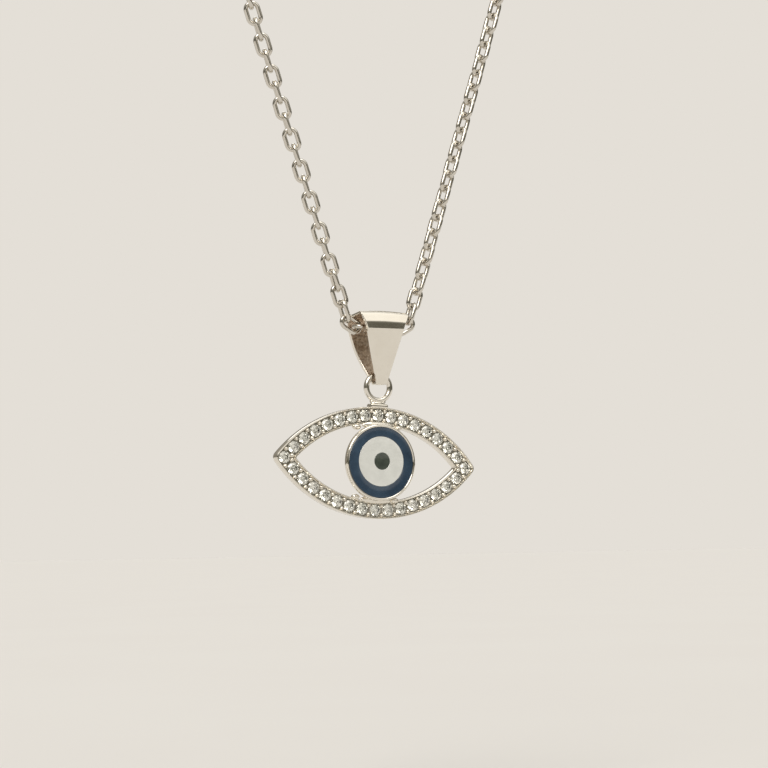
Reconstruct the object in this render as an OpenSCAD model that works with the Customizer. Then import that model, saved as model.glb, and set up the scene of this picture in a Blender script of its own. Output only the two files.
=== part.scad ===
// Evil eye pendant on a cable chain, 450 mm around.
// X to the right, Y to the back, Z up. The origin is the top of the loop, where the nape of a neck or a
// hook holds it. The pendant faces -Y.

/* [Chain] */
// Outer length of one cable link
link_l = 2.3; // [2.3:0.01:2.4]
// Outer width of one cable link
link_w = 1.5; // [1.4:0.05:1.6]
// Wire of a link
link_wire = 0.36; // [0.3:0.01:0.38]
// Distance from one link's middle to the next one's
pitch = 1.47; // [1.44:0.01:1.48]
// Turn of the links about the chain on the strands, from flat
link_turn = 22; // [0:1:25]
// Slope of the two straight strands
strand_slope = 72; // [71:0.1:72]
// Slope of the link at each end of the bail's roof
bend_slope = 30; // [28:1:36]
// Links in each straight strand
straight_links = 90; // [84:1:96]
// Links in each half of the top arc
arc_links = 58; // [54:1:60]
// Links on each side that are modelled one by one
front_links = 32; // [20:1:36]

/* [Clasp] */
// Outer diameter of the clasp ring
clasp_d = 5.5; // [5:0.5:7]
// Wire of the clasp ring
clasp_wire = 1; // [0.8:0.1:1.2]
// Outer diameter of the clasp's small eye
clasp_eye_d = 2; // [1.8:0.1:2.4]
// Outer diameter of the jump ring and the end ring
jump_d = 2.8; // [2.6:0.1:3]
// Wire of the jump ring, the end ring and the clasp's eye
jump_wire = 0.4; // [0.35:0.05:0.45]

/* [Bail] */
// Height of the bail from its roof to its tip
bail_h = 6.78; // [6.5:0.01:7]
// Thickness of its sheet
sheet = 0.4; // [0.3:0.05:0.45]
// Half width of the roof
roof_half_w = 2.4; // [2.2:0.05:2.6]
// Half width at the crease above the flat front
crease_half_w = 1.85; // [1.6:0.05:2]
// Half width at the tip
tip_half_w = 0.5; // [0.4:0.01:0.6]
// Depth of the crease below the roof
crease_drop = 1.74; // [1.6:0.01:1.8]
// Radius of the rolled front edge of the roof
roll_r = 0.8; // [0.6:0.05:1]
// Radius at the back of the roof
back_r = 1.6; // [1.4:0.05:1.8]
// Radius of the bowed back leg
bow_r = 5; // [4.5:0.1:6]

/* [Eye] */
// Length of the frame over its two corners
eye_w = 20; // [18:0.5:22]
// Height of the frame
eye_h = 10.15; // [9:0.05:11]
// Width of its band at the middle
band_w = 1.55; // [1.4:0.05:1.7]
// Thickness of the frame from front to back
band_t = 1.15; // [1.1:0.05:1.3]
// Width of the raised rims on the band
rim_w = 0.16; // [0.12:0.01:0.2]
// Depth of the stone channel below the rims
channel_drop = 0.24; // [0.15:0.01:0.3]
// Turn of the eye in its own plane, clockwise from the front
eye_turn = 3; // [0:0.5:5]
// Distance of the eye's centre below the top of the bail
eye_drop = 13.87; // [13.8:0.01:13.9]
// How far the eye's body sits behind its loop, so that it hangs upright
set_back = 0.3; // [0.1:0.05:0.4]
// Outer diameter of the loop
loop_d = 2.85; // [2.6:0.05:3]
// Wire of the loop
loop_wire = 0.5; // [0.4:0.05:0.5]

/* [Stones] */
// Stones on the whole frame
stone_count = 32; // [28:2:34]
// Diameter of a stone
stone_d = 1.1; // [1:0.02:1.14]
// Diameter of the grains that hold the stones
grain_d = 0.32; // [0.25:0.01:0.36]

/* [Bezel and enamel] */
// Outer diameter of the bezel cup
bezel_d = 6.96; // [6.6:0.02:7]
// Wall of the cup at its rim
bezel_wall = 0.27; // [0.2:0.01:0.35]
// Distance of the cup's rim before the plane on which the frame is built
bezel_front = 1.5; // [1.2:0.1:1.8]
// Depth of the cup from its rim to its back
bezel_depth = 1.1; // [1:0.05:1.2]
// Height of the cup's straight wall, behind which it narrows like a dish
bezel_wall_h = 0.45; // [0.4:0.05:0.6]
// Diameter of the cup's back
bezel_back_d = 6; // [5.8:0.1:6.4]
// Diameter of the off-white ring
white_d = 4.5; // [4.2:0.1:4.8]
// Diameter of the pupil
pupil_d = 1.54; // [1.4:0.02:1.7]
// Thickness of the enamel
enamel_t = 0.45; // [0.3:0.05:0.5]

/* [Hidden] */
$fn = 32;
silver = "#C9C7C0";

// Clearance between neighbouring links and rings
clear = 0.1;

// Chain
link_side = (link_w - link_wire) / 2;
link_half_straight = (link_l - link_w) / 2;
link_overreach = (link_l - pitch) / 2;
// Links are counted from the middle of the bail up each side: 0 is the middle one and 3 the first of a strand
half_links = 3 + straight_links + arc_links;
function slope(i, step = arc_step) = i < 2 ? 0 :
                                     i == 2 ? bend_slope :
                                     strand_slope + max(0, i - 2.5 - straight_links) * step;
// Under the roof the chain bends sharply. There the links meet at the end wires of the flat ones, which lie
// this far from the middle of the upright ones that they go through.
bend_hold = 0.42;
bend_reach = [bend_hold, (link_l - link_wire) / 2];
function reach_in(i) = i == 0 ? 0 : i < 4 ? bend_reach[i % 2] : pitch / 2;
function reach_out(i) = i < 3 ? bend_reach[i % 2] : pitch / 2;
function along(i, step = arc_step) = [cos(slope(i, step)), sin(slope(i, step))];
// Points where neighbouring links meet, up the right-hand side. The first is the middle of link 0.
function meeting_points(step) = [for (i = 0, p = [0, 0]; i <= half_links;
                                      p = p + (reach_in(i) + reach_out(i)) * along(i, step), i = i + 1) p];

// Clasp. It closes the two chain ends, which are level and the same distance from the middle.
jump_r = (jump_d - jump_wire) / 2;
clasp_r = (clasp_d - clasp_wire) / 2;
eye_joint = 0.2;
ring_hold = (jump_wire + link_wire) / 2 + clear;
link_end_x = (3 * jump_r + (clasp_eye_d + clasp_d) / 2 - eye_joint + clasp_r) / 2 - ring_hold;
jump_x = -link_end_x - ring_hold + jump_r;
clasp_eye_x = jump_x + jump_r;
clasp_x = clasp_eye_x + (clasp_eye_d + clasp_d) / 2 - eye_joint;
end_ring_x = link_end_x + ring_hold - jump_r;
tube_stop = ring_hold + jump_wire / 2 + clear - link_overreach + link_wire / 2;

// Slope gained by each link of the top arc: the one that brings the chain's end to the clasp
wanted_end_x = link_end_x + link_overreach - link_wire / 2;
function closing_step(step, tries) =
    tries == 0 ? step :
    closing_step(step + (meeting_points(step)[half_links].x - wanted_end_x) / 25, tries - 1);
arc_step = closing_step(1.77, 12);
meets = meeting_points(arc_step);
// Turn of a link about the chain: flat and upright in turn, and all turned a little further up the strands
function turn(i) = 90 * ((i + 1) % 2) + link_turn * min(1, max(0, i - 3) / 4);
end_meet = meets[half_links];
end_slope = slope(half_links - 1);
// The top of the loop, were its arc closed, is the origin
arc_r = pitch / 2 / sin(arc_step / 2);
chain_low_z = -end_meet.y - arc_r * (1 + cos(end_slope + arc_step / 2));
clasp_z = chain_low_z + end_meet.y;

// Bail: its top, and the chain's middle inside it
chain_under_roof = 1.5;
bail_top_z = chain_low_z + chain_under_roof;
crease_y = -1.72;
front_tip_y = -0.66;
back_tip_y = 0.5;
bail_back_y = 2.4;
back_top_drop = 0.2;
bow_drop = 2.28;
bow_to = -43;
// The roof's ends are filed down a little, and its lower corners are rounded
end_drop = 0.2;
corner_drop = 1.35;
// The foot is the lowest point inside the bail, where its front and back meet
foot_z = -6.47;
foot_front_y = -0.45;
foot_back_y = 0.4;

// Eye
corner_reach = 0.2;
inner_corner = 8.05;
pad_w = 1.8;
pad_h = 0.57;
pad_t = 1;
pad_sunk = 0.15;
loop_r = (loop_d - loop_wire) / 2;
hinge_drop = 5.83;
outer_r = lens_r(eye_w / 2 + corner_reach, eye_h / 2);
inner_h = eye_h / 2 - band_w;
inner_r = lens_r(inner_corner, inner_h);
row_half_l = (eye_w / 2 + inner_corner) / 2;
row_half_h = (eye_h - band_w) / 2;
row_r = lens_r(row_half_l, row_half_h);
row_angle = asin(row_half_l / row_r);
front = 0.7;
band_back = front - band_t;
floor_out = front - channel_drop;
enamel_sunk = 0.05;
enamel_gap = 0.02;
enamel_back = bezel_front - enamel_sunk - enamel_t;

// Radius of the two arcs of a lens with the given half length and half height
function lens_r(half_l, half_h) = (half_l * half_l + half_h * half_h) / (2 * half_h);
// Place on the stone row, as an angle on its upper or lower arc, at a side step from the row's line
function on_row(angle, upper, side) =
    [(row_r + side) * sin(angle), (upper ? 1 : -1) * ((row_r + side) * cos(angle) - row_r + row_half_h)];
// Points of an arc in the bail's side view
function arc(c, r, a0, a1, n) =
    [for (i = [0:n]) let (a = a0 + (a1 - a0) * i / n) c + r * [cos(a), sin(a)]];

// One oval link along X, with its width along Y
module link() {
    for (s = [-1, 1]) {
        translate([-link_half_straight, s * link_side, 0])
            rotate([0, 90, 0])
                cylinder(d = link_wire, h = 2 * link_half_straight);
        translate([s * link_half_straight, 0, 0])
            rotate([0, 0, -90 * s])
                rotate_extrude(angle = 180)
                    translate([link_side, 0])
                        circle(d = link_wire);
    }
}

// The links of the shown stretch, one by one
module chain_front() {
    color(silver)
        for (i = [0:front_links - 1], s = i == 0 ? [1] : [-1, 1]) {
            mid = meets[i] + reach_in(i) * along(i);
            translate([s * mid.x, 0, chain_low_z + mid.y])
                rotate([0, -s * slope(i), 0])
                    rotate([turn(i), 0, 0])
                        link();
        }
}

// The hidden stretch on one side: an eight-sided tube of the chain's width, swept along the same points
module chain_tube(s) {
    every = 3;
    last = half_links - front_links;
    path = concat([for (k = [0:every:last - 2]) tube_point(front_links + k)], [tube_point(half_links)]);
    n = len(path);
    first_dir = meets[front_links + 1] - meets[front_links];
    last_dir = along(half_links - 1);
    dirs = [for (k = [0:n - 1]) k == 0 ? first_dir : k == n - 1 ? last_dir : path[k + 1] - path[k - 1]];
    rings = [for (k = [0:n - 1]) let (u = dirs[k] / norm(dirs[k]))
             for (a = [0:45:315]) let (w = link_w / 2 * cos(a + 22.5))
             [s * (path[k].x - w * u.y), link_w / 2 * sin(a + 22.5), chain_low_z + path[k].y + w * u.x]];
    sides = [for (k = [0:n - 2], a = [0:7]) let (b = (a + 1) % 8)
             [8 * k + a, 8 * k + b, 8 * k + 8 + b, 8 * k + 8 + a]];
    caps = [[for (a = [7:-1:0]) a], [for (a = [0:7]) 8 * (n - 1) + a]];
    faces = concat(sides, caps);
    polyhedron(rings, s < 0 ? [for (f = faces) [for (k = [len(f) - 1:-1:0]) f[k]]] : faces);
}
// A path point of the tube, kept clear of the last modelled link and of the ring at the far end
function tube_point(i) =
    i == front_links ? meets[i] + (link_overreach + clear) * along(i) :
    i == half_links ? meets[i] - tube_stop * along(i - 1) :
    meets[i];

module chain_back() {
    color(silver)
        for (s = [-1, 1]) chain_tube(s);
}

// A round ring lying in the XY plane
module wire_ring(outer_d, wire) {
    rotate_extrude()
        translate([(outer_d - wire) / 2, 0])
            circle(d = wire);
}

module clasp() {
    color(silver)
        translate([0, 0, clasp_z]) {
            translate([clasp_x, 0, 0])
                rotate([90, 0, 0])
                    wire_ring(clasp_d, clasp_wire);
            translate([clasp_eye_x, 0, 0])
                rotate([90, 0, 0])
                    wire_ring(clasp_eye_d, jump_wire);
        }
}

module clasp_ring() {
    color(silver)
        translate([jump_x, 0, clasp_z])
            wire_ring(jump_d, jump_wire);
}

module end_ring() {
    color(silver)
        translate([end_ring_x, 0, clasp_z])
            wire_ring(jump_d, jump_wire);
}

// Side view of the bail's sheet, as the closed outline at the given depth in from its outer face.
// The first coordinate is Y and the second Z, with the roof's top at zero.
function bail_outline(inset) =
    let (roll_c = [crease_y + roll_r, -roll_r],
         back_c = [bail_back_y - back_r, -back_r - back_top_drop],
         bow_c = [bail_back_y - bow_r, -bow_drop],
         across = back_c - roll_c,
         top_angle = acos((roll_r - back_r) / norm(across)) + atan2(across.y, across.x))
    concat([[crease_y + inset, -crease_drop]],
           arc(roll_c, roll_r - inset, 180, top_angle, 8),
           arc(back_c, back_r - inset, top_angle, 0, 8),
           arc(bow_c, bow_r - inset, 0, bow_to, 6));

module bail_side_view() {
    difference() {
        polygon(concat([[front_tip_y, -bail_h]], bail_outline(0),
                       [[back_tip_y, -bail_h + 0.25], [back_tip_y - 0.15, -bail_h]]));
        polygon(concat([[foot_front_y, foot_z]], bail_outline(sheet), [[foot_back_y, foot_z]]));
    }
}

// Front view of the bail, as the right half of its outline from the tip up
bail_right = [[tip_half_w, -bail_h], [crease_half_w, -crease_drop], [roof_half_w - 0.15, -corner_drop - 0.1],
              [roof_half_w, -corner_drop], [roof_half_w, -end_drop], [roof_half_w / 2, 0]];

module bail() {
    color(silver)
        translate([0, 0, bail_top_z])
            intersection() {
                rotate([90, 0, 90])
                    linear_extrude(2 * roof_half_w, center = true)
                        bail_side_view();
                rotate([90, 0, 0])
                    linear_extrude(10, center = true)
                        polygon(concat(bail_right, [for (k = [len(bail_right) - 1:-1:0])
                                                    [-bail_right[k].x, bail_right[k].y]]));
            }
}

// Puts what is built flat, facing +Z with its top along +Y, where the hanging eye is
module hang_eye() {
    translate([0, 0, bail_top_z - hinge_drop])
        rotate([0, eye_turn, 0])
            translate([0, set_back, hinge_drop - eye_drop])
                rotate([90, 0, 0])
                    children();
}

// Lens of two arcs, with its corners cut blunt at the given reach
module lens(r, half_h, reach) {
    intersection() {
        translate([0, half_h - r]) circle(r, $fn = 180);
        translate([0, r - half_h]) circle(r, $fn = 180);
        circle(reach, $fn = 180);
    }
}

module eye_band() {
    translate([0, 0, band_back])
        linear_extrude(band_t - channel_drop)
            difference() {
                lens(outer_r, eye_h / 2, eye_w / 2);
                lens(inner_r, inner_h, eye_w);
            }
    translate([0, 0, floor_out])
        linear_extrude(channel_drop)
            difference() {
                lens(outer_r, eye_h / 2, eye_w / 2);
                difference() {
                    lens(outer_r - rim_w, eye_h / 2 - rim_w, eye_w / 2 - rim_w);
                    lens(inner_r + rim_w, inner_h + rim_w, eye_w);
                }
                lens(inner_r, inner_h, eye_w);
            }
}

// Stone places: even steps from the left corner over the top to the right corner and back below
stone_step = 4 * row_angle / stone_count;
function stone_at(i) = let (half = stone_count / 2)
    i <= half ? on_row(-row_angle + i * stone_step, true, 0) :
                on_row(row_angle - (i - half) * stone_step, false, 0);

// Grains between the stones, two in each gap
module grains() {
    grain_side = stone_d / 2 - 0.13;
    grain_h = 0.4;
    for (upper = [true, false], k = [0:stone_count / 2 - 1], side = [-grain_side, grain_side]) {
        p = on_row(-row_angle + (k + 0.5) * stone_step, upper, side);
        translate([p.x, p.y, floor_out - grain_h / 2])
            cylinder(d = grain_d, h = grain_h, $fn = 16);
    }
}

module stone_seats() {
    seat_depth = 0.5;
    seat_gap = 0.02;
    light_d = 0.6;
    for (i = [0:stone_count - 1]) {
        p = stone_at(i);
        translate([p.x, p.y, floor_out - seat_depth])
            cylinder(d = stone_d + 2 * seat_gap, h = band_t);
        translate([p.x, p.y, -band_t])
            cylinder(d = light_d, h = 2 * band_t);
    }
}

// The cup, with the solder above and below that joins its dished back to the band
module bezel_cup() {
    cup_back = bezel_front - bezel_depth;
    wall_from = bezel_front - bezel_wall_h;
    floor_front = enamel_back - 0.03;
    solder_w = 1.8;
    solder_from = bezel_back_d / 2 - 0.2;
    solder_h = 0.8;
    solder_t = 0.23;
    difference() {
        union() {
            translate([0, 0, wall_from])
                cylinder(d = bezel_d, h = bezel_wall_h, $fn = 64);
            translate([0, 0, cup_back])
                cylinder(d1 = bezel_back_d, d2 = bezel_d, h = wall_from - cup_back, $fn = 64);
        }
        translate([0, 0, floor_front])
            cylinder(d = bezel_d - 2 * bezel_wall, h = bezel_depth, $fn = 64);
    }
    for (s = [-1, 1])
        translate([0, s * (solder_from + solder_h / 2), cup_back + 0.03 + solder_t / 2])
            cube([solder_w, solder_h, solder_t], center = true);
}

module eye_loop() {
    loop_y = eye_drop - hinge_drop - loop_r;
    translate([0, loop_y, set_back])
        wire_ring(loop_d, loop_wire);
    translate([-pad_w / 2, eye_h / 2 - pad_sunk, set_back - pad_t / 2])
        cube([pad_w, pad_h, pad_t]);
}

module eye_frame() {
    color(silver)
        hang_eye() {
            difference() {
                union() {
                    eye_band();
                    grains();
                }
                stone_seats();
            }
            bezel_cup();
            eye_loop();
        }
}

// A round stone: an eight-sided table, sixteen-sided girdle and pointed pavilion
module stone(i) {
    p = stone_at(i);
    girdle_t = 0.04;
    crown_h = 0.16;
    pavilion_h = 0.44;
    thin = 0.01;
    color("#E9ECEE")
        hang_eye()
            translate([p.x, p.y, floor_out - girdle_t / 2])
                hull() {
                    translate([0, 0, girdle_t + crown_h - thin])
                        cylinder(d = stone_d * 0.56, h = thin, $fn = 8);
                    rotate(360 / 32)
                        cylinder(d = stone_d, h = girdle_t, $fn = 16);
                    translate([0, 0, -pavilion_h])
                        cylinder(d = 0.05, h = thin, $fn = 8);
                }
}

// The enamel lies in the cup in three colours. It was laid by hand, so its middle is a little off centre.
white_at = [0, 0.09];
pupil_at = [0.08, 0.12];

module iris() {
    color("#22406A")
        hang_eye()
            translate([0, 0, enamel_back])
                difference() {
                    cylinder(d = bezel_d - 2 * bezel_wall - 2 * enamel_gap, h = enamel_t, $fn = 64);
                    translate([white_at.x, white_at.y, -1])
                        cylinder(d = white_d + 2 * enamel_gap, h = enamel_t + 2, $fn = 64);
                }
}

module eye_white() {
    color("#DCD8CC")
        hang_eye()
            translate([0, 0, enamel_back])
                difference() {
                    translate([white_at.x, white_at.y, 0])
                        cylinder(d = white_d, h = enamel_t, $fn = 64);
                    translate([pupil_at.x, pupil_at.y, -1])
                        cylinder(d = pupil_d + 2 * enamel_gap, h = enamel_t + 2, $fn = 64);
                }
}

module pupil() {
    color("#23262A")
        hang_eye()
            translate([pupil_at.x, pupil_at.y, enamel_back])
                cylinder(d = pupil_d, h = enamel_t, $fn = 64);
}

chain_front();
chain_back();
clasp();
clasp_ring();
end_ring();
bail();
eye_frame();
iris();
eye_white();
pupil();
for (i = [1:stone_count])
    stone(i - 1);
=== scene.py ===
import math
import random

import bmesh
import bpy
from mathutils import Matrix, Vector


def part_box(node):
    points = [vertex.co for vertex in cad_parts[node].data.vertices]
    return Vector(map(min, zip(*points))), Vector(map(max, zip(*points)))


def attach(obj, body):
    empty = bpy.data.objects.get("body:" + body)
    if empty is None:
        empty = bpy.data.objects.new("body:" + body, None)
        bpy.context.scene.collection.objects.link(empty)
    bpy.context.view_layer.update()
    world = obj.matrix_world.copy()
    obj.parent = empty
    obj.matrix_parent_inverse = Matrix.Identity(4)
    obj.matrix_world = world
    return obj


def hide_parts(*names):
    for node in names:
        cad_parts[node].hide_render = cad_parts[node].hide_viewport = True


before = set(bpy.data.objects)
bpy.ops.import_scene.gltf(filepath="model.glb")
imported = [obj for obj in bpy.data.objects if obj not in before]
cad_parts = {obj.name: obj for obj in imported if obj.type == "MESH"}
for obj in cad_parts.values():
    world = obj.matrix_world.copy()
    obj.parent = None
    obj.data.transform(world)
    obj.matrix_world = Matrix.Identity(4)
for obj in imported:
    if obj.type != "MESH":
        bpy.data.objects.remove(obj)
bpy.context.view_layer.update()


# Cable chain
# Oval links of drawn sterling silver wire, each bent round a mandrel, closed through its neighbour and
# soldered, then plated together with rhodium. Every link of the necklace is made, up to the clasp.

# All pieces are built in millimetres
MM = 0.001
link_long = 2.3
link_wide = 1.5
link_wire = 0.4
link_hold = 0.97
link_pitch = 1.47
link_turn = math.radians(22)
link_play_degrees = 3
strand_slope = math.radians(72)
bend_slope = math.radians(30)
bend_hold = 0.42
bend_links = 3
turning_links = 4
straight_links = 90
arc_links = 58
shown_links = 32
half_links = bend_links + straight_links + arc_links
chain_under_roof = 1.5
ring_wire = 0.4
ring_hold = 0.48


def box_mm(node):
    """The low and high corners of a CAD node in millimetres."""
    low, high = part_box(node)
    return low / MM, high / MM


def linear(hex_colour):
    """An sRGB hex colour as the linear colour with alpha that a socket takes."""
    parts = [int(hex_colour[k:k + 2], 16) / 255 for k in (1, 3, 5)]
    return [c / 12.92 if c <= 0.04045 else ((c + 0.055) / 1.055) ** 2.4 for c in parts] + [1]


def add_node(tree, kind, values=None, links=None, **settings):
    """Adds a node with its settings, its unlinked socket values and its links from (node, output)."""
    node = tree.nodes.new(kind)
    for name, value in settings.items():
        setattr(node, name, value)
    for socket, value in (values or {}).items():
        node.inputs[socket].default_value = value
    for socket, (source, output) in (links or {}).items():
        tree.links.new(source.outputs[output], node.inputs[socket])
    return node


def new_material(name):
    """An empty material: its node tree and its object coordinates."""
    material = bpy.data.materials.new(name)
    material.use_nodes = True
    tree = material.node_tree
    tree.nodes.clear()
    return material, tree, add_node(tree, "ShaderNodeTexCoord")


def piece_of(bm, name, *materials):
    """Makes the object of a mesh that was built in millimetres. Its place is in its mesh."""
    bmesh.ops.scale(bm, vec=(MM, MM, MM), verts=bm.verts)
    mesh = bpy.data.meshes.new(name)
    bm.to_mesh(mesh)
    bm.free()
    piece = bpy.data.objects.new(name, mesh)
    bpy.context.scene.collection.objects.link(piece)
    for material in materials:
        mesh.materials.append(material)
    return piece


def edges_of(verts):
    """The edges between the given vertices, in an order that is the same each run."""
    inside = set(verts)
    return list(dict.fromkeys(e for v in verts for e in v.link_edges if e.other_vert(v) in inside))


def finish_smooth(bm, sharp_from=None):
    """Turns all faces outwards and smooth, leaving edges sharper than the angle hard."""
    bmesh.ops.recalc_face_normals(bm, faces=bm.faces)
    for face in bm.faces:
        face.smooth = True
    if sharp_from is not None:
        for edge in bm.edges:
            edge.smooth = edge.calc_face_angle(0) < math.radians(sharp_from)


def silver_finish(name, light, dark, smoothest, dullest):
    """Rhodium-plated silver. Polishing leaves soft waves half a millimetre wide, and haze in patches."""
    material, tree, coords = new_material(name)
    waves = add_node(tree, "ShaderNodeTexNoise",
                     {"Scale": 1 / (0.6 * MM), "Detail": 2.0, "Roughness": 0.45},
                     {"Vector": (coords, "Object")})
    haze = add_node(tree, "ShaderNodeTexNoise",
                    {"Scale": 1 / (1.1 * MM), "Detail": 3.0, "Roughness": 0.6},
                    {"Vector": (coords, "Object")})
    haze_range = add_node(tree, "ShaderNodeMapRange",
                          {"From Min": 0.35, "From Max": 0.7, "To Min": smoothest, "To Max": dullest},
                          {"Value": (haze, "Fac")})
    tint = add_node(tree, "ShaderNodeMix", {"A": linear(light), "B": linear(dark)},
                    {"Factor": (haze, "Fac")}, data_type="RGBA")
    bump = add_node(tree, "ShaderNodeBump", {"Strength": 0.1, "Distance": 0.05 * MM},
                    {"Height": (waves, "Fac")})
    shader = add_node(tree, "ShaderNodeBsdfPrincipled", {"Metallic": 1.0},
                      {"Base Color": (tint, "Result"), "Roughness": (haze_range, "Result"),
                       "Normal": (bump, "Normal")})
    add_node(tree, "ShaderNodeOutputMaterial", links={"Surface": (shader, "BSDF")})
    return material


# The links are only tumbled, which leaves them duller than the buffed pieces. Their silver is also painted a
# shade greyer, as painted shade: a darker copy of the same metal.
tumbled_silver_painted_darker = silver_finish("rhodium_plated_silver_tumbled_painted_shade", "#E1DDD5", "#D1CBC1", 0.09, 0.18)
polished_silver = silver_finish("rhodium_plated_silver_polished", "#F1EDE4", "#E5DFD4", 0.07, 0.15)


def next_row(bm, edges, matrix):
    """Extrudes the last row of a surface, moves the new row's points by the matrix, and gives it."""
    made = bmesh.ops.extrude_edge_only(bm, edges=edges)["geom"]
    verts = [g for g in made if isinstance(g, bmesh.types.BMVert)]
    bmesh.ops.transform(bm, matrix=matrix, verts=verts)
    return edges_of(verts)


def oval_link(bend_steps, wire_sides):
    """The mesh of one link along X: its wire is spun round an end, run straight, and spun again."""
    half_straight = (link_long - link_wide) / 2
    side = (link_wide - link_wire) / 2
    bm = bmesh.new()
    place = Matrix.Translation((half_straight, -side, 0)) @ Matrix.Rotation(math.pi / 2, 4, "Y")
    bmesh.ops.create_circle(bm, segments=wire_sides, radius=link_wire / 2, matrix=place)
    wire_end = bm.edges[:]
    for end in (1, -1):
        verts = list(dict.fromkeys(v for e in wire_end for v in e.verts))
        spun = bmesh.ops.spin(bm, geom=verts + wire_end, cent=(end * half_straight, 0, 0),
                              axis=(0, 0, 1), angle=math.pi, steps=bend_steps)["geom_last"]
        wire_end = [g for g in spun if isinstance(g, bmesh.types.BMEdge)]
        wire_end = next_row(bm, wire_end, Matrix.Translation((-end * 2 * half_straight, 0, 0)))
    bmesh.ops.remove_doubles(bm, verts=bm.verts, dist=link_wire / 100)
    finish_smooth(bm)
    mesh = bpy.data.meshes.new("link")
    bm.to_mesh(mesh)
    bm.free()
    return mesh


def link_slope(i, step):
    """Slope of a link, counted from the middle of the bail: level, one bent, a strand, the top arc."""
    if i < bend_links - 1:
        return 0
    if i == bend_links - 1:
        return bend_slope
    return strand_slope + max(0, i - (bend_links - 0.5) - straight_links) * step


def chain_side(step):
    """The middle and slope of each link up the right-hand side, and the point where the last one ends."""
    rows, at = [], Vector((0, 0))
    for i in range(half_links):
        held = link_hold if i % 2 else bend_hold
        before = 0 if i == 0 else held if i <= bend_links else link_pitch / 2
        after = held if i < bend_links else link_pitch / 2
        slope = link_slope(i, step)
        along = Vector((math.cos(slope), math.sin(slope)))
        rows.append((at + before * along, slope))
        at = at + (before + after) * along
    return rows, at


# The top arc's step is the one that brings the last link into the end ring. One degree more in each
# link moves that link by about 25 mm.
bail_top_z = box_mm("bail")[1].z
chain_low_z = bail_top_z - chain_under_roof
wanted_end_x = box_mm("end_ring")[1].x - ring_wire / 2 - ring_hold + (link_long - link_pitch) / 2
end_shift_per_degree = 25
arc_step = math.radians(1.77)
for _ in range(12):
    link_rows, chain_end = chain_side(arc_step)
    arc_step += math.radians((chain_end.x - wanted_end_x) / end_shift_per_degree)


def lay_links(link, numbers, name):
    """One piece of the numbered links on both sides. Each lies a little differently in its neighbours."""
    chance = random.Random(len(numbers))
    bm = bmesh.new()
    for i in numbers:
        middle, slope = link_rows[i]
        strand_turn = link_turn * min(1, max(0, i - bend_links) / turning_links)
        turn = math.pi / 2 * ((i + 1) % 2) + strand_turn
        for side in ((1,) if i == 0 else (-1, 1)):
            play = 0
            if i > bend_links:
                play = math.radians(chance.uniform(-link_play_degrees, link_play_degrees))
            place = (Matrix.Translation((side * middle.x, 0, chain_low_z + middle.y))
                     @ Matrix.Rotation(-side * slope, 4, "Y") @ Matrix.Rotation(turn + play, 4, "X"))
            start = len(bm.verts)
            bm.from_mesh(link)
            bmesh.ops.transform(bm, matrix=place, verts=bm.verts[start:])
    # The links take the silver that is painted greyer as painted shade
    return piece_of(bm, name, tumbled_silver_painted_darker)


front_link = oval_link(bend_steps=20, wire_sides=16)
front_links = lay_links(front_link, range(shown_links), "cable_links_front")
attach(front_links, "chain")
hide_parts("chain_front")

# The many links above are coarser
back_link = oval_link(bend_steps=4, wire_sides=6)
back_links = lay_links(back_link, range(shown_links, half_links), "cable_links_back")
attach(back_links, "chain")
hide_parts("chain_back")


# Clasp and its rings
# A plain spring-ring shape of polished silver with its small eye, and a round jump ring of drawn wire
# at each end of the chain. One ring holds the clasp by its eye and the clasp goes through the other.
clasp_outer = 5.5
clasp_wire = 1.0
clasp_eye_outer = 2.0
clasp_eye_sunk = 0.2


def add_ring(bm, centre, axis, outer, wire, steps=48, wire_sides=14):
    """Adds a ring of round wire about the given axis: a circle of the wire's size spun once round."""
    start = Matrix.Translation(centre) @ axis.to_track_quat("Z", "X").to_matrix().to_4x4()
    place = start @ Matrix.Translation(((outer - wire) / 2, 0, 0)) @ Matrix.Rotation(math.pi / 2, 4, "X")
    circle = bmesh.ops.create_circle(bm, segments=wire_sides, radius=wire / 2, matrix=place)["verts"]
    bmesh.ops.spin(bm, geom=circle + edges_of(circle), cent=centre, axis=axis, angle=2 * math.pi,
                   steps=steps, use_merge=True)


low, high = box_mm("clasp")
clasp_middle = Vector((high.x - clasp_outer / 2, 0, (high.z + low.z) / 2))
clasp_eye_middle = clasp_middle - Vector(((clasp_outer + clasp_eye_outer) / 2 - clasp_eye_sunk, 0, 0))
bm = bmesh.new()
add_ring(bm, clasp_middle, Vector((0, -1, 0)), clasp_outer, clasp_wire, steps=64, wire_sides=20)
add_ring(bm, clasp_eye_middle, Vector((0, -1, 0)), clasp_eye_outer, ring_wire)
finish_smooth(bm)
clasp = piece_of(bm, "clasp_body", polished_silver)
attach(clasp, "chain")
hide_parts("clasp")

for node in ("clasp_ring", "end_ring"):
    low, high = box_mm(node)
    bm = bmesh.new()
    add_ring(bm, (low + high) / 2, Vector((0, 0, 1)), high.x - low.x, ring_wire)
    finish_smooth(bm)
    ring = piece_of(bm, node + "_wire", polished_silver)
    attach(ring, "chain")
    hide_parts(node)


# Bail
# Cut as one tapered strip of 0.4 mm silver sheet and folded through the eye's loop: flat filed front,
# rolled roof, bowed back leg, soldered at the tip. It is polished outside and left matt inside.
bail_h = 6.78
sheet = 0.4
roof_half_w = 2.4
roof_crown = -0.12
roof_fall = -0.015
roof_bow = -0.018
roof_underside = 0.42
roof_thin_h = 0.7
roof_thin_fade = 0.6
crease_half_w = 1.85
crease_y = -1.72
crease_drop = 1.74
flare_h = 1.5
flare_power = 1.2
crown_fade = 1.5
wall_top_z = -1.14
wall_bend_r = 1
tip_half_w = 0.5
tip_y = -0.66
tip_thin_from = 4.2
tip_thin_h = 1.8
tip_thinned = 0.4
across_steps = 16

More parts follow.
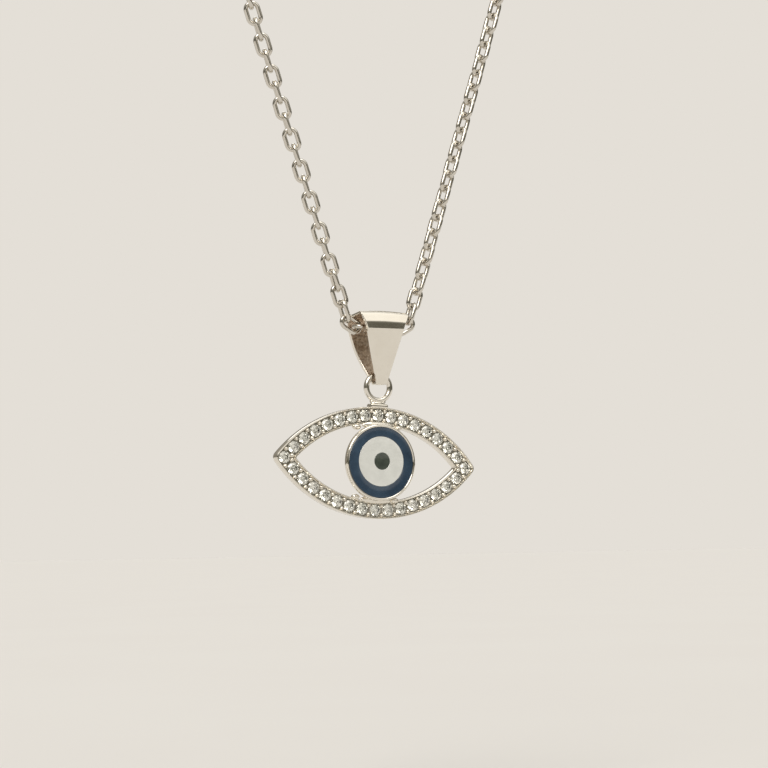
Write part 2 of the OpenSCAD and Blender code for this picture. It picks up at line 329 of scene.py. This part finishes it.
# Inside, the sheet keeps its fire scale: dull and brownish, with pits a quarter of a millimetre wide
inside_silver, tree, coords = new_material("silver_sheet_unpolished_inside")
pits = add_node(tree, "ShaderNodeTexNoise",
                {"Scale": 1 / (0.25 * MM), "Detail": 4.0, "Roughness": 0.65},
                {"Vector": (coords, "Object")})
pit_range = add_node(tree, "ShaderNodeMapRange", {"From Min": 0.4, "From Max": 0.62},
                     {"Value": (pits, "Fac")})
colour = add_node(tree, "ShaderNodeMix", {"A": linear("#B5A08A"), "B": linear("#EADCCB")},
                  {"Factor": (pit_range, "Result")}, data_type="RGBA")
bump = add_node(tree, "ShaderNodeBump", {"Strength": 0.5, "Distance": 0.05 * MM},
                {"Height": (pits, "Fac")})
shader = add_node(tree, "ShaderNodeBsdfPrincipled", {"Metallic": 1.0, "Roughness": 0.45},
                  {"Base Color": (colour, "Result"), "Normal": (bump, "Normal")})
add_node(tree, "ShaderNodeOutputMaterial", links={"Surface": (shader, "BSDF")})


def draw_line(bm, end, y, z, steps):
    """Draws the sheet's line straight on to a point of the side view, and gives its new end."""
    start = end.co.copy()
    for k in range(steps):
        end = bmesh.ops.extrude_vert_indiv(bm, verts=[end])["verts"][0]
        end.co = start.lerp(Vector((start.x, y, z)), (k + 1) / steps)
    return end


def draw_bend(bm, end, y, z, sweep, steps):
    """Bends the sheet's line round a centre in the side view, by degrees from the front over the top."""
    return bmesh.ops.spin(bm, geom=[end], cent=(end.co.x, y, z), axis=(-1, 0, 0),
                          angle=math.radians(sweep), steps=steps)["geom_last"][0]


def half_width(z):
    """Half the strip's width at a height from the bail's top: it tapers down and flares to the roof."""
    if z < -crease_drop:
        return tip_half_w + (crease_half_w - tip_half_w) * (z + bail_h) / (bail_h - crease_drop)
    return crease_half_w + (roof_half_w - crease_half_w) * min(1, (z + crease_drop) / flare_h) ** flare_power


def roof_line(x):
    """Height of the roof as the file left it: a little crowned, and lower at its right end."""
    return roof_crown + roof_fall * x + roof_bow * x ** 2


# The outer face's line at the sheet's left edge, up the front: tip to crease, upright wall, and a face
# that leans back
bm = bmesh.new()
end = bm.verts.new((-1, tip_y, -bail_h))
end = draw_line(bm, end, crease_y, -crease_drop, steps=8)
end = draw_line(bm, end, crease_y, wall_top_z, steps=10)
end = draw_bend(bm, end, crease_y + wall_bend_r, wall_top_z, sweep=13, steps=4)
end = draw_line(bm, end, -1.577, -0.349, steps=3)
# Then over the roof, and down the bowed back leg to the tip
end = draw_bend(bm, end, -1.139, -0.45, sweep=82.7, steps=12)
end = draw_line(bm, end, 0.96, -0.208, steps=4)
end = draw_bend(bm, end, 0.8, -1.8, sweep=84.3, steps=16)
end = draw_line(bm, end, 2.4, -2.28, steps=2)
end = draw_bend(bm, end, -2.6, -2.28, sweep=43, steps=14)
end = draw_line(bm, end, 0.36, -6.76, steps=4)
# The line is drawn out to the right edge, two units wide, and then given its width and its crown
edges = bm.edges[:]
for _ in range(across_steps):
    edges = next_row(bm, edges, Matrix.Translation((2 / across_steps, 0, 0)))
for vert in bm.verts:
    vert.co.x *= half_width(vert.co.z)
    vert.co.z += roof_line(vert.co.x) * min(1, crown_fade * max(0, 1 + vert.co.z / crease_drop))
finish_smooth(bm, sharp_from=11)
if max(bm.faces, key=lambda f: f.calc_center_median().z).normal.z < 0:
    bmesh.ops.reverse_faces(bm, faces=bm.faces)
bmesh.ops.translate(bm, vec=(0, 0, bail_top_z), verts=bm.verts)
bail = piece_of(bm, "bail_sheet", polished_silver, inside_silver)
# The sheet is filed thinner at the roof, so that its underside stays level, and towards the tip
weights = bail.vertex_groups.new(name="sheet_thickness")
for vert in bail.data.vertices:
    drop = bail_top_z - vert.co.z / MM
    roof_weight = (roof_underside + roof_line(vert.co.x / MM)) / sheet
    below_roof = min(1, max(0, (drop - roof_thin_h) / roof_thin_fade))
    near_tip = min(1, max(0, (drop - tip_thin_from) / tip_thin_h))
    weight = roof_weight + (1 - roof_weight) * below_roof - tip_thinned * near_tip
    weights.add([vert.index], weight, "REPLACE")
thickness = bail.modifiers.new("sheet", "SOLIDIFY")
thickness.vertex_group = "sheet_thickness"
thickness.thickness = sheet * MM
thickness.offset = -1
thickness.use_even_offset = True
thickness.material_offset = 1
filed = bail.modifiers.new("filed_edges", "BEVEL")
filed.width = 0.08 * MM
filed.segments = 3
filed.limit_method = "ANGLE"
filed.angle_limit = math.radians(50)
filed.harden_normals = True
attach(bail, "bail")
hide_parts("bail")

# Solder fills the fold's tip between the front and the back leg
tip_solder_at = (0, -0.08, -6.62)
tip_solder_size = (0.9, 0.62, 0.28)
bm = bmesh.new()
place = Matrix.Translation(tip_solder_at) @ Matrix.Diagonal((*tip_solder_size, 1))
bmesh.ops.create_cube(bm, size=1, matrix=place)
bmesh.ops.bevel(bm, geom=bm.edges[:], offset=0.07, offset_type="OFFSET", segments=3, profile=0.5,
                affect="EDGES", material=-1)
finish_smooth(bm)
bmesh.ops.translate(bm, vec=(0, 0, bail_top_z), verts=bm.verts)
tip_solder = piece_of(bm, "bail_tip_solder", polished_silver)
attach(tip_solder, "bail")
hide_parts("bail")


# Eye frame
# One casting of sterling silver: an open lens with a rim on each side of its stone channel, pierced by
# seats. Cup and loop are soldered on. It is built flat, with Z towards its front, and then hung.
eye_reach = 10.0
eye_half_h = 5.075
eye_tip_r = 0.6
hole_reach = 8.05
hole_half_h = 3.525
hole_tip_r = 0.12
arc_steps = 64
tip_steps = 12
channel_floor = 0.46
stone_count = 32
stone_d = 1.1
seat_sides = 24
grain_r = 0.18
grain_side = 0.42
grain_lift = 0.02
grain_height = 0.95
bezel_r = 3.48
bezel_in = 3.21
bezel_front = 1.5
bezel_back = 0.4
enamel_front = 1.45
enamel_back = 1.0
round_steps = 96
loop_outer = 2.87
loop_wire = 0.52
set_back = 0.3
hinge_drop = 5.83
eye_drop = 13.87
eye_turn = math.radians(3)
hang = (Matrix.Translation((0, 0, bail_top_z - hinge_drop)) @ Matrix.Rotation(eye_turn, 4, "Y")
        @ Matrix.Translation((0, set_back, hinge_drop - eye_drop)) @ Matrix.Rotation(math.pi / 2, 4, "X"))


def circle_rows(bm, rows, segments):
    """A surface through round rows, each a centre, radius and height. Gives its first and last row."""
    at, radius, z = rows[0]
    place = Matrix.Translation(at + Vector((0, 0, z)))
    circle = bmesh.ops.create_circle(bm, segments=segments, radius=radius, matrix=place)["verts"]
    first = row = edges_of(circle)
    for (at, radius, z), (next_at, next_radius, next_z) in zip(rows, rows[1:]):
        row = next_row(bm, row, Matrix.Translation(next_at + Vector((0, 0, next_z)))
                       @ Matrix.Scale(next_radius / radius, 4) @ Matrix.Translation(-at - Vector((0, 0, z))))
    return first, row


# The rows of each rim's section, from the back to the channel: how far in from the outline, and height
rim_section = [(0.30, -0.45), (0.24, -0.425), (0.03, -0.2), (0.0, -0.12), (0.0, 0.60), (0.02, 0.66),
               (0.06, 0.70), (0.11, 0.695), (0.15, 0.64), (0.17, channel_floor)]


def rim_rows(bm, reach, half_h, tip_r, inward):
    """A rim: a lens outline of two arcs and two round tips, spun from a point, in rows of the section.

    Gives its row at the back and its row in the channel."""
    tip_x = reach - tip_r
    arc_r = (tip_x ** 2 + half_h ** 2 - tip_r ** 2) / (2 * (half_h - tip_r))
    drop = arc_r - half_h
    lean = math.atan2(tip_x, drop)
    old_inset, old_z = 0, rim_section[0][1]
    before = set(bm.verts)
    end = [bm.verts.new((arc_r * math.sin(lean), arc_r * math.cos(lean) - drop, old_z))]
    for x, y, sweep, steps in ((0, -drop, 2 * lean, arc_steps),
                               (-tip_x, 0, math.pi - 2 * lean, tip_steps),
                               (0, drop, 2 * lean, arc_steps),
                               (tip_x, 0, math.pi - 2 * lean, tip_steps)):
        end = bmesh.ops.spin(bm, geom=end, cent=(x, y, old_z), axis=(0, 0, 1), angle=sweep,
                             steps=steps)["geom_last"]
    bmesh.ops.remove_doubles(bm, verts=[v for v in bm.verts if v not in before], dist=0.002)
    first = row = edges_of([v for v in bm.verts if v not in before])
    for inset, z in rim_section:
        if z != old_z:
            row = next_row(bm, row, Matrix.Translation((0, 0, z - old_z)))
        for vert in dict.fromkeys(v for e in row for v in e.verts):
            x, y = abs(vert.co.x), abs(vert.co.y)
            out = (x - tip_x, y) if math.atan2(x, y + drop) > lean else (x, y + drop)
            out = Vector(out).normalized()
            move = (old_inset - inset) * inward
            vert.co.x += math.copysign(out.x, vert.co.x) * move
            vert.co.y += math.copysign(out.y, vert.co.y) * move
        old_inset, old_z = inset, z
    return first, row


bm = bmesh.new()
outer_back, outer_channel = rim_rows(bm, eye_reach, eye_half_h, eye_tip_r, 1)
inner_back, inner_channel = rim_rows(bm, hole_reach, hole_half_h, hole_tip_r, -1)

# The stones' row lies half way between the two outlines, also near the corners
row_reach = 9.15
row_half_h = (eye_half_h + hole_half_h) / 2
row_r = (row_reach ** 2 + row_half_h ** 2) / (2 * row_half_h)
row_angle = math.asin(row_reach / row_r)
row_step = 4 * row_angle / stone_count


def on_row(place, side=0.0, z=0.0):
    """A point of the row, counted in stones from the left corner over the top, or to a side of it."""
    half = stone_count / 2
    upper = place <= half
    angle = -row_angle + place * row_step if upper else row_angle - (place - half) * row_step
    y = (row_r + side) * math.cos(angle) - row_r + row_half_h
    return Vector(((row_r + side) * math.sin(angle), y if upper else -y, z))


# The rows of a seat, from its mouth in the channel to the light hole at the back: radius and height
seat_section = [(0.565, channel_floor), (0.565, channel_floor - 0.08), (0.3, -0.05), (0.3, -0.4),
                (0.35, -0.45)]
seat_mouths, seat_backs = [], []
for i in range(stone_count):
    mouth, back = circle_rows(bm, [(on_row(i), radius, z) for radius, z in seat_section], seat_sides)
    seat_mouths += mouth
    seat_backs += back
bmesh.ops.triangle_fill(bm, use_beauty=True, edges=outer_channel + inner_channel + seat_mouths,
                        normal=(0, 0, 1))
bmesh.ops.triangle_fill(bm, use_beauty=True, edges=outer_back + inner_back + seat_backs,
                        normal=(0, 0, 1))

# Grains: beads of the channel's own metal raised against the stones, two in each gap
for i in range(stone_count):
    for side in (-grain_side, grain_side):
        at = on_row(i + 0.5, side, channel_floor + grain_lift)
        place = Matrix.Translation(at) @ Matrix.Diagonal((1, 1, grain_height, 1))
        bmesh.ops.create_uvsphere(bm, u_segments=14, v_segments=9, radius=grain_r, matrix=place)
finish_smooth(bm, sharp_from=32)
bmesh.ops.transform(bm, matrix=hang, verts=bm.verts)
frame_band = piece_of(bm, "eye_frame_band", polished_silver)
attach(frame_band, "eye")
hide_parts("eye_frame")

# The cup: a turned dish with a short upright wall, rubbed over at the rim, and a floor for the enamel
cup_floor = enamel_back - 0.03
cup_profile = [(0, cup_floor), (bezel_in, cup_floor), (bezel_in, 1.415), (bezel_in + 0.02, 1.455),
               (bezel_in + 0.06, 1.487), (bezel_in + 0.115, bezel_front), (bezel_in + 0.17, 1.487),
               (bezel_r - 0.055, 1.45), (bezel_r - 0.02, 1.39), (bezel_r, 1.31), (bezel_r, 1.09),
               (bezel_r - 0.02, 1.03), (3.06, 0.46), (2.95, bezel_back), (0, bezel_back)]
bm = bmesh.new()
verts = [bm.verts.new((r, 0, z)) for r, z in cup_profile]
edges = [bm.edges.new(pair) for pair in zip(verts, verts[1:])]
bmesh.ops.spin(bm, geom=verts + edges, cent=(0, 0, 0), axis=(0, 0, 1), angle=2 * math.pi,
               steps=round_steps, use_merge=True)
bmesh.ops.remove_doubles(bm, verts=bm.verts, dist=0.001)
# Solder where the cup meets the band, four lumps and two long fillets: place, and size each way
cup_solder = [((-2.25, 3.12, 0.7), (0.42, 0.28, 0.36)), ((-2.15, -3.18, 0.7), (0.4, 0.26, 0.34)),
              ((1.8, -3.34, 0.7), (0.4, 0.26, 0.34)), ((1.95, 3.24, 0.7), (0.36, 0.24, 0.34)),
              ((0, 3.34, 0.62), (1.7, 0.4, 0.3)), ((0, -3.34, 0.62), (1.6, 0.4, 0.3))]
for at, size in cup_solder:
    place = Matrix.Translation(at) @ Matrix.Diagonal((*size, 1))
    bmesh.ops.create_icosphere(bm, subdivisions=3, radius=1, matrix=place)
finish_smooth(bm, sharp_from=40)
bmesh.ops.transform(bm, matrix=hang, verts=bm.verts)
cup = piece_of(bm, "bezel_cup", polished_silver)
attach(cup, "eye")
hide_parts("eye_frame")

# The loop stands on a small filed pad on top of the band
loop_middle_y = eye_drop - hinge_drop - (loop_outer - loop_wire) / 2
pad_size = (1.75, 0.44, 1.0)
pad_sunk = 0.15
bm = bmesh.new()
pad_place = Matrix.Translation((0, eye_half_h - pad_sunk + pad_size[1] / 2, set_back))
bmesh.ops.create_cube(bm, size=1, matrix=pad_place @ Matrix.Diagonal((*pad_size, 1)))
bmesh.ops.bevel(bm, geom=bm.edges[:], offset=0.16, offset_type="OFFSET", segments=4, profile=0.5,
                affect="EDGES", material=-1)
add_ring(bm, Vector((0, loop_middle_y, set_back)), Vector((0, 0, 1)), loop_outer, loop_wire,
         steps=64, wire_sides=18)
# Solder below the loop and drawn up on each side of its foot: across, up, lean, and size each way
loop_solder = [(0, 0.3, 0, (0.72, 0.28, 0.36)), (-0.42, 0.4, -0.35, (0.4, 0.19, 0.25)),
               (0.42, 0.4, 0.35, (0.4, 0.19, 0.25))]
for across, up, lean, size in loop_solder:
    place = (Matrix.Translation((across, eye_half_h + up, set_back)) @ Matrix.Rotation(lean, 4, "Z")
             @ Matrix.Diagonal((*size, 1)))
    bmesh.ops.create_icosphere(bm, subdivisions=3, radius=1, matrix=place)
finish_smooth(bm)
bmesh.ops.transform(bm, matrix=hang, verts=bm.verts)
loop = piece_of(bm, "eye_loop", polished_silver)
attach(loop, "eye")
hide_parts("eye_frame")


# Stones
# Round brilliants of cubic zirconia, 1.1 mm across, cut with all the facets of crown and pavilion. Each
# was dropped into its seat and held by the grains, so no two stand quite alike.
table_r = 0.56 * stone_d / 2
star_r = 0.76 * stone_d / 2
lower_r = 0.22 * stone_d / 2
crown_slope = math.tan(math.radians(35))
pavilion_slope = math.tan(math.radians(41))
girdle_half = 0.018
facet_turn = math.pi / 4
stone_play_degrees = 3

# Cubic zirconia is clear and dense, with an index of about 2.16: facets flash white beside dark ones
zirconia, tree, coords = new_material("cubic_zirconia_cut_and_polished")
cloud = add_node(tree, "ShaderNodeTexNoise", {"Scale": 1 / (2.5 * MM), "Detail": 1.0},
                 {"Vector": (coords, "Object")})
water = add_node(tree, "ShaderNodeMix", {"A": linear("#F7FAF4"), "B": linear("#FFFDF4")},
                 {"Factor": (cloud, "Fac")}, data_type="RGBA")
shader = add_node(tree, "ShaderNodeBsdfPrincipled",
                  {"Transmission Weight": 1.0, "IOR": 2.16, "Roughness": 0.0},
                  {"Base Color": (water, "Result")})
add_node(tree, "ShaderNodeOutputMaterial", links={"Surface": (shader, "BSDF")})


def add_brilliant(bm):
    """Adds a brilliant round the Z axis with its girdle at zero: the hull of its facets' corners."""
    radius = stone_d / 2
    star_z = girdle_half + (radius - star_r * math.cos(facet_turn / 2)) * crown_slope
    table_z = girdle_half + (radius - table_r) * crown_slope
    lower_z = -girdle_half - (radius - lower_r * math.cos(facet_turn / 2)) * pavilion_slope
    corners = [(0, 0, -girdle_half - radius * pavilion_slope)]
    for k in range(8):
        main, between = k * facet_turn, (k + 0.5) * facet_turn
        corners += [(table_r, main, table_z), (star_r, between, star_z), (lower_r, between, lower_z)]
    for k in range(16):
        turn = k * facet_turn / 2
        corners += [(radius, turn, girdle_half), (radius, turn, -girdle_half)]
    verts = [bm.verts.new((r * math.cos(a), r * math.sin(a), z)) for r, a, z in corners]
    bmesh.ops.convex_hull(bm, input=verts)
    bmesh.ops.dissolve_limit(bm, angle_limit=math.radians(0.5), verts=bm.verts, edges=bm.edges)
    bmesh.ops.recalc_face_normals(bm, faces=bm.faces)


chance = random.Random(5)
for i in range(stone_count):
    bm = bmesh.new()
    add_brilliant(bm)
    lean_x = math.radians(chance.uniform(-stone_play_degrees, stone_play_degrees))
    lean_y = math.radians(chance.uniform(-stone_play_degrees, stone_play_degrees))
    turn = chance.uniform(0, facet_turn)
    place = (hang @ Matrix.Translation(on_row(i, 0, channel_floor)) @ Matrix.Rotation(lean_x, 4, "X")
             @ Matrix.Rotation(lean_y, 4, "Y") @ Matrix.Rotation(turn, 4, "Z"))
    bmesh.ops.transform(bm, matrix=place, verts=bm.verts)
    name = f"stone_{i + 1:02d}"
    stone = piece_of(bm, name + "_brilliant", zirconia)
    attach(stone, "eye")
    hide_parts(name)


# Enamel
# Three colours of glossy cold enamel, laid one after the other: blue ring, off-white ring, dark pupil.
# Each drew up a little at its edge as it set, and the two inner ones lie a hair off the cup's middle.
white_r = 2.25
pupil_r = 0.77
blue_at = Vector((0, 0, 0))
white_at = Vector((0, 0.09, 0))
pupil_at = Vector((0.08, 0.12, 0))
seam = 0.012
edge_drop = 0.02
edge_in = 0.025
sunk_in = 0.12
sunk = 0.012


def enamel_material(name, light, dark, patch):
    """Glossy enamel: hard and clear at the surface, with colour that settled unevenly below it."""
    material, tree, coords = new_material(name)
    settled = add_node(tree, "ShaderNodeTexNoise", {"Scale": 1 / (patch * MM), "Detail": 2.0},
                       {"Vector": (coords, "Object")})
    settled_range = add_node(tree, "ShaderNodeMapRange", {"From Min": 0.32, "From Max": 0.68},
                             {"Value": (settled, "Fac")})
    colour = add_node(tree, "ShaderNodeMix", {"A": linear(dark), "B": linear(light)},
                      {"Factor": (settled_range, "Result")}, data_type="RGBA")
    ripple = add_node(tree, "ShaderNodeTexNoise", {"Scale": 1 / (0.9 * MM), "Detail": 1.0},
                      {"Vector": (coords, "Object")})
    bump = add_node(tree, "ShaderNodeBump", {"Strength": 0.08, "Distance": 0.03 * MM},
                    {"Height": (ripple, "Fac")})
    shader = add_node(tree, "ShaderNodeBsdfPrincipled",
                      {"Roughness": 0.12, "IOR": 1.5, "Coat Weight": 0.4, "Coat Roughness": 0.05},
                      {"Base Color": (colour, "Result"), "Normal": (bump, "Normal")})
    add_node(tree, "ShaderNodeOutputMaterial", links={"Surface": (shader, "BSDF")})
    return material


blue_enamel = enamel_material("cold_enamel_deep_blue", "#384C60", "#27394C", 1.6)
white_enamel = enamel_material("cold_enamel_off_white", "#E0E2DF", "#D6D8D5", 1.2)
dark_enamel = enamel_material("cold_enamel_near_black", "#485048", "#3B423D", 0.5)


def enamel_field(name, outer_at, outer_r, inner_at, inner_r, material, node):
    """A field of enamel between two circles that need not share a centre, or a disc with no inner one."""
    rows = [(outer_at, outer_r, enamel_back), (outer_at, outer_r, enamel_front - edge_drop),
            (outer_at, outer_r - edge_in, enamel_front), (outer_at, outer_r - sunk_in, enamel_front - sunk)]
    if inner_r:
        rows += [(inner_at, inner_r + sunk_in, enamel_front - sunk),
                 (inner_at, inner_r + edge_in, enamel_front),
                 (inner_at, inner_r, enamel_front - edge_drop),
                 (inner_at, inner_r, enamel_back), rows[0]]
    bm = bmesh.new()
    first, last = circle_rows(bm, rows, round_steps)
    if inner_r:
        bmesh.ops.remove_doubles(bm, verts=bm.verts, dist=0.001)
    else:
        bmesh.ops.edgeloop_fill(bm, edges=first)
        bmesh.ops.edgeloop_fill(bm, edges=last)
    finish_smooth(bm, sharp_from=40)
    bmesh.ops.transform(bm, matrix=hang, verts=bm.verts)
    field = piece_of(bm, name, material)
    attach(field, "eye")
    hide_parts(node)


enamel_field("blue_ring", blue_at, bezel_in - seam, white_at, white_r + seam, blue_enamel,
             "iris")
enamel_field("white_ring", white_at, white_r, pupil_at, pupil_r + seam, white_enamel,
             "eye_white")
enamel_field("pupil_disc", pupil_at, pupil_r, pupil_at, 0, dark_enamel, "pupil")


# Floor, lights and camera
# A pale matt floor below the hanging pendant, large soft lights far above and round it, and a camera a
# little to the left of the pendant and below it, looking slightly up.
floor_drop = 45
floor_size = 6000
floor_paint, tree, coords = new_material("pale_matt_floor")
mottle = add_node(tree, "ShaderNodeTexNoise", {"Scale": 1 / (60 * MM), "Detail": 2.0},
                  {"Vector": (coords, "Object")})
colour = add_node(tree, "ShaderNodeMix", {"A": linear("#DEDCDB"), "B": linear("#E0DFDE")},
                  {"Factor": (mottle, "Fac")}, data_type="RGBA")
shader = add_node(tree, "ShaderNodeBsdfPrincipled", {"Roughness": 0.9, "Specular IOR Level": 0.0},
                  {"Base Color": (colour, "Result")})
add_node(tree, "ShaderNodeOutputMaterial", links={"Surface": (shader, "BSDF")})
bm = bmesh.new()
bmesh.ops.create_grid(bm, x_segments=1, y_segments=1, size=floor_size,
                      matrix=Matrix.Translation((0, 0, bail_top_z - floor_drop)))
floor = piece_of(bm, "floor", floor_paint)

# The room: bright above, dimmer behind, dim low in front and at both sides, so that the silver shows
# its form. The camera sees it as a plain backdrop as pale as the floor.
world = bpy.data.worlds.new("studio_room")
bpy.context.scene.world = world
world.use_nodes = True
tree = world.node_tree
tree.nodes.clear()
coords = add_node(tree, "ShaderNodeTexCoord")
parts = add_node(tree, "ShaderNodeSeparateXYZ", links={"Vector": (coords, "Generated")})
front = add_node(tree, "ShaderNodeValToRGB", links={"Fac": (parts, "Z")})
front.color_ramp.elements[0].position = 0.1
front.color_ramp.elements[0].color = linear("#605D52")
front.color_ramp.elements[1].position = 0.42
front.color_ramp.elements[1].color = linear("#D4D0C6")
front.color_ramp.elements.new(0.8).color = linear("#F6F3EB")
behind = add_node(tree, "ShaderNodeMapRange", {"From Min": 0.05, "From Max": 0.45, "To Max": 0.85},
                  {"Value": (parts, "Y")})
room = add_node(tree, "ShaderNodeMix", {"B": linear("#8B857A")},
                {"A": (front, "Color"), "Factor": (behind, "Result")}, data_type="RGBA")
across = add_node(tree, "ShaderNodeMath", links={0: (parts, "X")}, operation="ABSOLUTE")
aside = add_node(tree, "ShaderNodeMapRange", {"From Min": 0.62, "From Max": 0.8, "To Max": 0.45},
                 {"Value": (across, "Value")})
walls = add_node(tree, "ShaderNodeMix", {"B": linear("#4B493F")},
                 {"A": (room, "Result"), "Factor": (aside, "Result")}, data_type="RGBA")
seen = add_node(tree, "ShaderNodeLightPath")
backdrop = add_node(tree, "ShaderNodeMix", {"B": linear("#E4DFD7")},
                    {"A": (walls, "Result"), "Factor": (seen, "Is Camera Ray")}, data_type="RGBA")
light = add_node(tree, "ShaderNodeBackground", links={"Color": (backdrop, "Result")})
add_node(tree, "ShaderNodeOutputWorld", links={"Surface": (light, "Background")})


def direction(azimuth, elevation):
    """The direction towards a place. Azimuth 0 is in front of the pendant, and 90 to its right."""
    turn, lift = math.radians(azimuth), math.radians(elevation)
    return Vector((math.sin(turn) * math.cos(lift), -math.cos(turn) * math.cos(lift), math.sin(lift)))


def soft_light(name, azimuth, elevation, spread, strength, colour):
    """A large soft light, so far away that it is even, with its angular width in degrees."""
    lamp = bpy.data.lights.new(name, "SUN")
    lamp.angle = math.radians(spread)
    lamp.energy = strength
    lamp.color = linear(colour)[:3]
    holder = bpy.data.objects.new(name, lamp)
    holder.rotation_euler = direction(azimuth, elevation).to_track_quat("Z", "Y").to_euler()
    bpy.context.scene.collection.objects.link(holder)


soft_light("key_light", -45, 40, 30, 1.1, "#FFFAF2")
soft_light("top_light", 15, 72, 30, 0.5, "#FFFCF7")
soft_light("right_light", 29, 37, 34, 0.12, "#FFFAF2")
soft_light("back_light", 165, 40, 30, 0.3, "#FFFFFF")

# The camera's place was fitted to the photograph: what it is aimed at, how far away and which way, and
# its roll
camera_aim = Vector((0.55, 0, bail_top_z - 6.66))
camera_distance = 201
camera_way = direction(-27.02, -4.23)
camera_roll = math.radians(-0.9)
camera = bpy.data.cameras.new("camera")
camera.lens = 103.4
camera.sensor_width = 36
camera.clip_start = MM
camera.clip_end = 20
holder = bpy.data.objects.new("camera", camera)
holder.matrix_world = (Matrix.Translation((camera_aim + camera_way * camera_distance) * MM)
                       @ camera_way.to_track_quat("Z", "Y").to_matrix().to_4x4()
                       @ Matrix.Rotation(camera_roll, 4, "Z"))
bpy.context.scene.collection.objects.link(holder)
bpy.context.scene.camera = holder
bpy.context.scene.view_settings.view_transform = "Standard"
